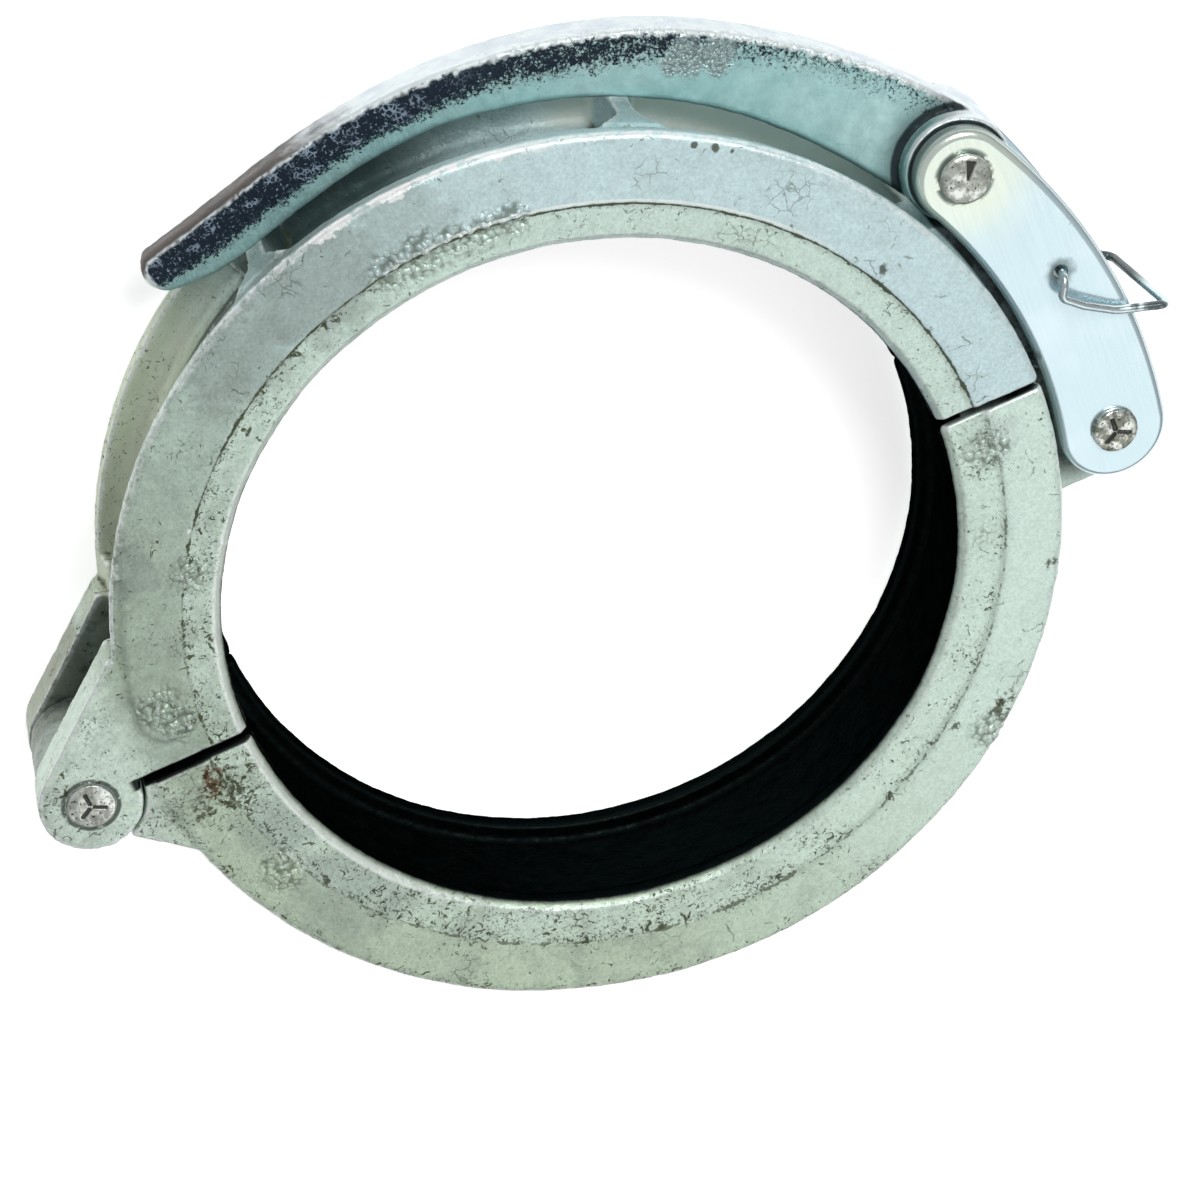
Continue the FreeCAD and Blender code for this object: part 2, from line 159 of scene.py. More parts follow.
def on_ring(turn, radius, height=HALF_WIDTH):
    """A point in millimetres, from its turn round the bore in degrees and its radius."""
    a = math.radians(turn)
    return Vector((radius * math.cos(a), radius * math.sin(a), height))


def on_front(x, y, height=HALF_WIDTH):
    """A point on the front face, or at another height, in millimetres."""
    return Vector((x, y, height))


class UpperHalf:
    """What the upper half alone has. A mark is a centre and a radius, and a smudge also has a strength."""

    node, piece, body, finish = "upper_half", "upper_casting", "upper", "Upper casting plating"
    plating = ("mint", "sky")
    band_radius = 121.5
    smudges = (
        (on_ring(106.0, 133.0), 24.0, 0.6), (on_ring(119.0, 134.0), 20.0, 0.55),
        (on_ring(93.0, 131.0), 17.0, 0.35), (on_ring(150.0, 140.0), 12.0, 0.5))
    grime = ()
    rust = ()
    cracks = ((on_front(93.6, 92.5), 9.0),)
    chips = (
        (on_front(110.3, 59.1), 2.2), (on_front(79.0, 115.0), 1.3),
        (on_front(74.0, 118.5), 1.2), (on_front(83.0, 112.0), 1.0))
    # Patches of blisters left in the casting by the mould
    blisters = (
        (on_ring(80.5, 122.0), 6.5), (on_ring(84.5, 120.5), 6.0), (on_ring(88.5, 121.0), 7.0),
        (on_ring(93.0, 121.5), 8.0), (on_ring(97.5, 121.5), 7.5), (on_ring(149.5, 119.0), 7.0),
        (on_ring(169.5, 131.9), 8.0), (on_ring(172.5, 128.0), 6.5))
    # The dirty line along the band: how the right side changes its breaks and its width, and its strength
    line_breaks, line_width, line_strength = 0.10, 0.12, 0.92
    dirt_by_rim = 0.2
    # Whether fine blotches eat into its rust and moss
    eaten = False


class LowerHalf:
    """What the lower half alone has, in the same terms."""

    node, piece, body, finish = "lower_half", "lower_casting", "lower", "Lower casting plating"
    plating = ("lower_mint", "lower")
    band_radius = 124.0
    smudges = (
        (on_ring(-3.0, 122.0), 10.0, 0.2), (on_ring(-166.0, 118.0), 15.0, 0.45),
        (on_ring(-150.0, 122.0), 22.0, 0.4))
    grime = (
        (on_ring(-5.0, 125.0), 20.0), (on_ring(-13.0, 127.0, 10.0), 12.0), (on_ring(-172.0, 126.0), 12.0))
    rust = ((on_front(-126.3, -3.5), 4.2), (on_front(-128.5, -8.0), 3.4))
    cracks = ()
    chips = (
        (on_front(-133.5, -12.0), 5.0), (on_front(-125.0, -12.5), 3.0), (on_front(100.0, -93.0), 3.4),
        (on_front(97.0, -99.0), 3.6), (on_front(82.0, -95.5), 2.4), (on_front(73.0, -99.0), 2.6),
        (on_front(127.5, -56.5), 2.6), (on_front(88.4, -70.7), 2.2))
    blisters = ((on_ring(-5.0, 122.0), 8.0), (on_ring(-48.0, 138.0), 8.0), (on_ring(-160.0, 128.0), 8.0))
    line_breaks, line_width, line_strength = -0.02, -0.15, 0.75
    dirt_by_rim = 0.5
    eaten = True


# A patch of beads on the lever's face
PEBBLES = (
    (on_front(83.0, 134.5, 9.0), 6.5), (on_front(90.0, 131.5, 9.0), 6.5), (on_front(78.0, 134.0, 9.0), 4.5))

Pin = namedtuple("Pin", "node piece body centre dome sooty notch")
PINS = (
    Pin("hinge_pin", "hinge_rivet", "upper", HINGE, dome=0.3, sooty=0.25, notch=0.0),
    Pin("lever_link_pin", "lever_rivet", "link", LEVER_PIN, dome=1.0, sooty=0.32, notch=0.7),
    Pin("latch_pin", "latch_rivet", "link", LATCH_PIN, dome=0.5, sooty=0.75, notch=0.0))


def colour_property(name, description, default):
    return bpy.props.FloatVectorProperty(
        name=name, description=description, default=default, size=3, min=0.0, max=1.0, subtype="COLOR")


def number_property(name, description, default, least=0.0, **more):
    return bpy.props.FloatProperty(name=name, description=description, default=default, min=least, **more)


def length_property(name, description, default):
    return number_property(name, description, default, precision=5, subtype="DISTANCE", unit="LENGTH")


class CastingLooks(bpy.types.PropertyGroup):
    """Surface and colours of the two cast halves."""

    skin_step: length_property("Skin Step", "Spacing of the points of the cast skin", 0.00085)
    wave_height: length_property("Wave Height", "Height of the slow unevenness of the cast faces", 0.0005)
    lump_height: length_property("Lump Height", "Height of the sand marks left by the mould", 0.0004)
    grain_height: length_property("Grain Height", "Height of the fine grain", 0.0002)
    blister_height: length_property("Blister Height", "Height of the raised blister patches", 0.0016)
    softening: bpy.props.IntProperty(
        name="Softening", description="How often the edges are rounded off", default=3)
    mint: colour_property("Mint", "Plating on the left of the coupling", (0.435, 0.54, 0.43))
    lower_mint: colour_property("Lower Mint", "Plating on the left of the lower half", (0.53, 0.65, 0.50))
    sky: colour_property("Sky", "Plating on the upper right of the coupling", (0.60, 0.77, 0.79))
    band: colour_property("Band", "Plating on the lower inner band", (0.64, 0.79, 0.69))
    lower: colour_property("Lower Half", "Plating of the lower half on the right", (0.67, 0.825, 0.745))
    dirt: colour_property("Dirt", "Olive brown dirt in pits and along the step", (0.050, 0.046, 0.016))
    rust: colour_property("Rust", "Rust stain beside the hinge", (0.115, 0.052, 0.022))
    # Groove Black is painted shade, laid in the groove, between the halves and beside the links.
    black: colour_property("Groove Black", "Oily black scale inside the groove", (0.006, 0.009, 0.009))


class LeverLooks(bpy.types.PropertyGroup):
    """Surface and colours of the cast lever."""

    skin_step: length_property("Skin Step", "Spacing of the points of the lever's skin", 0.0006)
    hammer_height: length_property("Hammer Height", "Height of the hammered cells", 0.0004)
    navy: colour_property("Navy", "Darkened upper part of the front face", (0.012, 0.022, 0.036))
    teal: colour_property("Teal", "Plating along the lower part of the face", (0.36, 0.62, 0.62))
    # Pale is painted light: it stands in for the light on the lever's top and the highlight on its upper
    # edge.
    pale: colour_property("Pale", "Bright plating on rounded edges and on the top", (0.80, 0.87, 0.88))
    brown: colour_property("Brown", "Rust on top of the lever's tip", (0.085, 0.055, 0.040))


class SteelLooks(bpy.types.PropertyGroup):
    """Finishes of the plates, pins and clip."""

    plate: colour_property("Plate", "Bright plating of the link plates", (0.60, 0.75, 0.80))
    cream: colour_property("Cream", "Yellowed plating round the lever's pin", (0.79, 0.85, 0.70))
    pin: colour_property("Pin", "Bright steel of the pins", (0.74, 0.78, 0.73))
    wire: colour_property("Wire", "Bright spring wire of the clip", (0.60, 0.70, 0.72))
    pin_step: length_property("Pin Step", "Spacing of the points of a pin's skin", 0.00025)


class StageLooks(bpy.types.PropertyGroup):
    """Floor, light and camera."""

    floor: colour_property("Floor", "Colour of the plain floor", (0.92, 0.92, 0.92))
    sky_light: number_property("Sky Light", "Strength of the light overhead", 0.46)
    low_light: number_property("Low Light", "Strength of the light at the horizon", 0.18)
    key_light: number_property("Key Light", "Power of the soft lamp at the upper right", 16.0, unit="POWER")
    fill_light: number_property("Fill Light", "Power of the lamp on the viewer's side", 6.0, unit="POWER")
    lens: number_property("Lens", "Focal length of the camera", 102.45, least=1.0, unit="CAMERA")


# Working on meshes

def only(piece):
    """Leaves one object selected and active, so that an operator acts on it alone."""
    bpy.ops.object.select_all(action="DESELECT")
    piece.select_set(True)
    bpy.context.view_layer.objects.active = piece


def merged_copy(node, name):
    """A copy of a CAD node whose loose triangles are merged into one skin."""
    only(frame["nodes"][node])
    bpy.ops.object.duplicate()
    piece = bpy.context.active_object
    piece.name = name
    piece.data.name = name
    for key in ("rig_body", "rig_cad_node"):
        del piece[key]
    bpy.ops.mesh.customdata_custom_splitnormals_clear()
    bpy.ops.object.mode_set(mode="EDIT")
    bpy.ops.mesh.select_all(action="SELECT")
    bpy.ops.mesh.remove_doubles(threshold=MERGE_DISTANCE)
    bpy.ops.object.mode_set(mode="OBJECT")
    return piece


def apply_modifier(piece, kind, **settings):
    only(piece)
    modifier = piece.modifiers.new(kind.title(), kind)
    for key, value in settings.items():
        setattr(modifier, key, value)
    bpy.ops.object.modifier_apply(modifier=modifier.name)


def new_skin(piece, step, softening):
    """Covers the piece with evenly spaced points and rounds its edges off."""
    apply_modifier(piece, "REMESH", mode="VOXEL", voxel_size=step, use_smooth_shade=True)
    apply_modifier(piece, "SMOOTH", factor=0.5, iterations=softening)


def relief(piece, name, size, height, kind="CLOUDS", group="", middle=0.5, **settings):
    """Raises and sinks the skin by a procedural pattern; its grain size and height are in metres."""
    texture = bpy.data.textures.new(piece.name + " " + name, kind)
    texture.noise_scale = size
    for key, value in settings.items():
        setattr(texture, key, value)
    apply_modifier(piece, "DISPLACE", texture=texture, strength=height, mid_level=middle,
                   texture_coords="LOCAL", vertex_group=group)


def points_of(piece):
    """The piece's points in millimetres, as an array."""
    co = np.empty(len(piece.data.vertices) * 3, np.float32)
    piece.data.vertices.foreach_get("co", co)
    return co.reshape(-1, 3).astype(float) / MM


def move_points(piece, points):
    piece.data.vertices.foreach_set("co", (points * MM).astype(np.float32).ravel())
    piece.data.update()


def dab(piece, name, spots):
    """A vertex group that is full inside each spot and fades out at its rim; a spot is (centre, radius)."""
    points = points_of(piece)
    weight = np.zeros(len(points))
    for centre, radius in spots:
        away = np.linalg.norm(points - np.array(centre), axis=1)
        weight = np.maximum(weight, np.clip(SPOT_SLOPE * (1.0 - away / radius), 0.0, 1.0))
    group = piece.vertex_groups.new(name=name)
    for i in np.nonzero(weight > FAINTEST_WEIGHT)[0]:
        group.add([int(i)], float(weight[i]), "REPLACE")


def thin_out(piece):
    """Drops points where the skin is flat, until the piece is light enough."""
    triangles = sum(len(p.vertices) - 2 for p in piece.data.polygons)
    if triangles > MOST_TRIANGLES:
        apply_modifier(piece, "DECIMATE", ratio=MOST_TRIANGLES / triangles)


def store(piece, name, values):
    """Keeps one number for each point of the piece, for its material to read."""
    attribute = piece.data.attributes.new(name, "FLOAT", "POINT")
    attribute.data.foreach_set("value", np.asarray(values, np.float32))


def store_wear(piece, blurs=2):
    """Keeps how sharply the skin bends: above 0 on edges, which wear, and below 0 in hollows, which fill."""
    points = points_of(piece)
    normals = np.empty(len(points) * 3, np.float32)
    piece.data.vertices.foreach_get("normal", normals)
    normals = normals.reshape(-1, 3)
    ends = np.empty(len(piece.data.edges) * 2, np.int32)
    piece.data.edges.foreach_get("vertices", ends)
    a, b = ends.reshape(-1, 2).T
    along = points[a] - points[b]
    reach = np.maximum((along ** 2).sum(1), SHORTEST_EDGE)
    bend = np.zeros(len(points))
    count = np.bincount(np.concatenate([a, b]), minlength=len(points)).astype(float)
    np.add.at(bend, a, (along * normals[a]).sum(1) / reach)
    np.add.at(bend, b, (-along * normals[b]).sum(1) / reach)
    bend /= np.maximum(count, 1.0)
    for _ in range(blurs):
        total = np.zeros(len(points))
        np.add.at(total, a, bend[b])
        np.add.at(total, b, bend[a])
        bend = OWN_SHARE_OF_BEND * bend + (1.0 - OWN_SHARE_OF_BEND) * total / np.maximum(count, 1.0)
    store(piece, "wear", np.clip(bend / SHARPEST_BEND, -1.0, 1.0))


def store_across(piece):
    """Keeps how far each point of the lever's bar lies between its lower edge, 0, and its upper edge, 1."""
    points = points_of(piece)
    radius = np.hypot(points[:, 0], points[:, 1])
    turn = np.degrees(np.arctan2(points[:, 1], points[:, 0]))
    middles, lows, highs = [], [], []
    for start in np.arange(turn.min(), turn.max(), SLICE_OF_BAR):
        here = radius[(turn >= start) & (turn < start + SLICE_OF_BAR)]
        if len(here):
            middles.append(start + SLICE_OF_BAR / 2)
            lows.append(here.min())
            highs.append(here.max())
    low, high = np.interp(turn, middles, lows), np.interp(turn, middles, highs)
    store(piece, "across", np.clip((radius - low) / np.maximum(high - low, 1.0), 0.0, 1.0))


def dome_heads(piece, pin):
    """Raises each head's middle, as the rivet set leaves it, and sinks a wedge to its upper right."""
    points = points_of(piece)
    x, y = points[:, 0] - pin.centre.x, points[:, 1] - pin.centre.y
    top = np.abs(points[:, 2]).max()
    on_head = np.abs(points[:, 2]) > top - HEAD_THICKNESS
    share = np.clip(1.0 - (np.hypot(x, y) / DOME_RADIUS) ** 2, 0.0, 1.0) * on_head
    along = x * math.cos(WEDGE_HEADING) + y * math.sin(WEDGE_HEADING)
    aside = np.abs(y * math.cos(WEDGE_HEADING) - x * math.sin(WEDGE_HEADING))
    cut = np.clip((WEDGE_START + WEDGE_SPREAD * along - aside) / WEDGE_FADE, 0.0, 1.0)
    cut = cut * (along > 0.0) * (along < WEDGE_LENGTH) * (share > 0.0)
    points[:, 2] += np.sign(points[:, 2]) * (share * pin.dome - cut * pin.notch)
    move_points(piece, points)
    store(piece, "cut", cut * (pin.notch > 0.0))


def coat(piece, material):
    piece.data.materials.clear()
    piece.data.materials.append(material)


def stand_for(piece, node, body, material):
    """Hands the finished piece over: its material and the body it moves with, and hides the CAD node it
    stands for.
    """
    coat(piece, material)
    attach(piece, body)
    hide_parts(node)


# Building materials

class Value:
    """A number that a node gives. Sums, products and steps of it set out further nodes on its bench."""

    def __init__(self, bench, socket):
        self.bench, self.socket = bench, socket

    def __add__(self, other):
        return self.bench.maths("ADD", self, other)

    def __sub__(self, other):
        return self.bench.maths("SUBTRACT", self, other)

    def __mul__(self, other):
        return self.bench.maths("MULTIPLY", self, other)

    def __truediv__(self, other):
        return self.bench.maths("DIVIDE", self, other)

    def __abs__(self):
        return self.bench.maths("ABSOLUTE", self)

    def step(self, low, high, start=0.0, end=1.0):
        """Rises smoothly from start to end as the value goes from low to high."""
        ends = {"Value": self, "From Min": low, "From Max": high, "To Min": start, "To Max": end}
        return self.bench.value("MapRange", ends, interpolation_type="SMOOTHSTEP")

    def between(self, low, full, still, gone):
        """Rises to 1 from low to full, stays there and falls from still to gone."""
        return self.step(low, full) * self.step(gone, still)


class Bench:
    """Sets out the nodes of one material or node group and joins them up; its point is in millimetres."""

    def __init__(self, tree, point=None):
        self.tree, self.point = tree, point

    def feed(self, socket, value):
        if isinstance(value, Value):
            value = value.socket
        if isinstance(value, bpy.types.NodeSocket):
            self.tree.links.new(value, socket)
        elif value is not None:
            socket.default_value = (*value, 1.0) if socket.type == "RGBA" else value

    def put(self, kind, inputs, **settings):
        node = self.tree.nodes.new("ShaderNode" + kind)
        for key, value in settings.items():
            setattr(node, key, value)
        for key, value in inputs.items():
            self.feed(node.inputs[key], value)
        return node

    def ready_made(self, kind):
        """The inputs of the node that a new material or world comes with."""
        return next(node for node in self.tree.nodes if node.type == kind).inputs

    def value(self, kind, inputs, output=0, **settings):
        """The number that a new node gives."""
        return Value(self, self.put(kind, inputs, **settings).outputs[output])

    def maths(self, operation, a, b=None, c=None, clamp=False):
        return self.value("Math", {0: a, 1: b, 2: c}, operation=operation, use_clamp=clamp)

    def most(self, *masks):
        """The strongest of several masks."""
        top = masks[0]
        for mask in masks[1:]:
            top = self.maths("MAXIMUM", top, mask)
        return top

    def vector(self, operation, a, b=None, **named):
        return self.put("VectorMath", {0: a, 1: b, **named}, operation=operation).outputs[0]

    def measure(self, operation, a, b=None):
        """The length, distance or dot product of vectors."""
        return self.value("VectorMath", {0: a, 1: b}, "Value", operation=operation)

    def parts(self, vector):
        return [Value(self, part) for part in self.put("SeparateXYZ", {0: vector}).outputs]

    def stretched(self, x, y, z):
        """The point with its coordinates multiplied."""
        return self.vector("MULTIPLY", self.point, (x, y, z))

    def blend(self, share, a, b, how="MIX"):
        return self.put("Mix", {0: share, 6: a, 7: b}, data_type="RGBA", blend_type=how).outputs[2]

    def noise(self, size, detail=3.0, roughness=0.55, twist=0.0, point=None):
        """Cloudy noise from 0 to 1 whose blotches are about size millimetres wide."""
        return self.value("TexNoise", {
            "Vector": self.point if point is None else point, "Scale": 1.0 / size, "Detail": detail,
            "Roughness": roughness, "Distortion": twist})

    def warp(self, size, amount):
        """The point, pushed about by cloudy noise, so that what follows is uneven."""
        cloud = self.put("TexNoise", {"Vector": self.point, "Scale": 1.0 / size, "Detail": 2.0})
        centred = self.vector("SUBTRACT", cloud.outputs["Color"], (0.5, 0.5, 0.5))
        return self.vector("ADD", self.point, self.vector("SCALE", centred, Scale=2.0 * amount))

    def beads(self, amount, scale):
        """Distance from the middles of warped cells."""
        return self.value("TexVoronoi", {"Vector": self.warp(2.0, amount), "Scale": scale})

    def effect(self, name, output="Mask", **inputs):
        """One output of a shared effect, at this bench's point."""
        return self.value("Group", {"Point": self.point, **inputs}, output, node_tree=shared(name))

    def patch(self, centre, radius, ragged):
        return self.effect("Round Patch", Centre=centre, Radius=radius, Ragged=ragged)

    def kept(self, name):
        return self.value("Attribute", {}, "Fac", attribute_name=name)


def new_group(name, outs, **ins):
    """An empty node group that takes a point and the given numbers, with its bench and its two ends."""
    tree = bpy.data.node_groups.new(name, "ShaderNodeTree")
    for label, default in {"Point": None, **ins}.items():
        kind = "NodeSocketVector" if default is None else "NodeSocketFloat"
        socket = tree.interface.new_socket(name=label, in_out="INPUT", socket_type=kind)
        if default is not None:
            socket.default_value = default
    for label in outs:
        tree.interface.new_socket(name=label, in_out="OUTPUT", socket_type="NodeSocketFloat")
    given = tree.nodes.new("NodeGroupInput").outputs
    wanted = tree.nodes.new("NodeGroupOutput").inputs
    bench = Bench(tree, given["Point"])
    return bench, {label: Value(bench, given[label]) for label in ins}, wanted


def make_ring_place():
    """A point's distance from the bore's axis, its turn round it and its distance from the middle plane."""
    bench, given, wanted = new_group("Place On Ring", ("Radius", "Turn", "Depth"))
    x, y, z = bench.parts(bench.point)
    bench.feed(wanted["Radius"], bench.measure("LENGTH", bench.stretched(1.0, 1.0, 0.0)))
    bench.feed(wanted["Turn"], bench.maths("DEGREES", bench.maths("ARCTAN2", y, x)))
    bench.feed(wanted["Depth"], abs(z))


def make_cast_grain():
    """Sandy grain of a casting: clouds with small round pits."""
    bench, given, wanted = new_group("Cast Grain", ("Height",), Size=2.0)
    fine = bench.vector("SCALE", bench.point, Scale=bench.maths("DIVIDE", 1.0, given["Size"]))
    cells = bench.value("TexVoronoi", {"Vector": fine, "Scale": 0.8, "Smoothness": 0.6}, feature="SMOOTH_F1")
    pits = cells.step(0.05, 0.32, 1.0, 0.0) * bench.noise(4.0, 2.0, point=fine).step(0.5, 0.62)
    bench.feed(wanted["Height"], bench.noise(1.0, 5.0, 0.62, point=fine) - pits * 0.5)


def make_dirt_specks():
    """Small ragged stains with crumbs round them, lying in loose clusters."""
    bench, given, wanted = new_group("Dirt Specks", ("Mask",), Size=3.0, Amount=0.3, Cluster=30.0)
    ragged = bench.value("TexNoise", {
        "Vector": bench.point, "Scale": bench.maths("DIVIDE", 1.0, given["Size"]), "Detail": 7.0,
        "Roughness": 0.66, "Distortion": 0.9})
    slow = bench.value("TexNoise", {
        "Vector": bench.point, "Scale": bench.maths("DIVIDE", 1.0, given["Cluster"]), "Detail": 2.0})
    level = given["Amount"] * -0.13 + 0.865 - slow * 0.26
    bench.feed(wanted["Mask"], (ragged - level).step(0.0, 0.035))


def from_crack(bench, given, size, amount):
    """Distance in millimetres from the edges of warped cells."""
    cells = {"Vector": bench.warp(size, amount), "Scale": bench.maths("DIVIDE", 1.0, given["Cell"])}
    return bench.value("TexVoronoi", cells, feature="DISTANCE_TO_EDGE") * given["Cell"]


def make_hairlines():
    """Short hairline cracks, open only here and there along the edges of warped cells."""
    bench, given, wanted = new_group("Hairlines", ("Mask",), Cell=8.0, Width=0.25, Amount=0.4)
    line = bench.maths("SUBTRACT", 1.0, from_crack(bench, given, 3.0, 1.6) / given["Width"], clamp=True)
    open_here = (bench.noise(5.0, 2.0) + given["Amount"]).step(0.92, 1.0)
    bench.feed(wanted["Mask"], line * open_here)


def make_crackle():
    """A net of cracks between cells, as hammered and darkened plating shows."""
    bench, given, wanted = new_group("Crackle", ("Mask",), Cell=2.4, Width=0.3)
    bench.feed(wanted["Mask"], from_crack(bench, given, 2.2, 0.55).step(0.0, given["Width"], 1.0, 0.0))


def make_round_patch():
    """A ragged patch round one place."""
    bench, given, wanted = new_group("Round Patch", ("Mask",), Centre=None, Radius=10.0, Ragged=3.0)
    torn = (bench.noise(5.0, 4.0) * 2.0 - 1.0) * given["Ragged"]
    share = (bench.measure("DISTANCE", bench.point, given["Centre"]) + torn) / given["Radius"]
    bench.feed(wanted["Mask"], share.step(0.55, 1.0, 1.0, 0.0))


EFFECTS = {
    "Place On Ring": make_ring_place, "Cast Grain": make_cast_grain, "Dirt Specks": make_dirt_specks,
    "Hairlines": make_hairlines, "Crackle": make_crackle, "Round Patch": make_round_patch}


def shared(name):
    """One of the shared effects, made the first time that it is asked for."""
    if name not in bpy.data.node_groups:
        EFFECTS[name]()
    return bpy.data.node_groups[name]


class Finish(Bench):
    """The bench of one material, with its shader and the colour that marks are painted on."""

    def __init__(self, name):
        self.material = bpy.data.materials.new(name)
        self.material.use_nodes = True
        super().__init__(self.material.node_tree)
        self.shader = self.ready_made("BSDF_PRINCIPLED")
        at = self.put("TexCoord", {}).outputs
        self.point = self.vector("SCALE", at["Object"], Scale=1.0 / MM)
        self.normal = at["Normal"]
        self.x, self.y, self.z = self.parts(self.point)
        self.colour = None

    def from_axis(self, centre):
        """Distance from the line through the centre that runs along the pipe."""
        return self.measure("DISTANCE", self.stretched(1.0, 1.0, 0.0), tuple(centre))

    def facing(self):
        """0 on walls along the pipe and 1 on faces that look along it."""
        return abs(self.parts(self.normal)[2])

    def paint(self, mask, colour, share=1.0):
        """Lays a colour over the present one; the share is how much of it shows where the mask is full."""
        self.colour = self.blend(mask * share if share < 1.0 else mask, self.colour, colour)

    def shade(self, value):
        """Multiplies the present colour by a value."""
        grey = self.put("CombineColor", {0: value, 1: value, 2: value}).outputs[0]
        self.colour = self.blend(1.0, self.colour, grey, "MULTIPLY")

    def hand_over(self, metallic, roughness, height, depth, strength, dulled=None):
        """Joins everything to the shader; the depth of the fine relief is in metres."""
        bump = self.put("Bump", {"Height": height, "Distance": depth, "Strength": strength}).outputs[0]
        tint = self.blend(dulled, WHITE, BLACK) if dulled else None
        return self.join({"Base Color": self.colour, "Metallic": metallic, "Roughness": roughness,
                          "Specular Tint": tint, "Normal": bump})

    def join(self, inputs):
        for name, value in inputs.items():
            self.feed(self.shader[name], value)
        return self.material


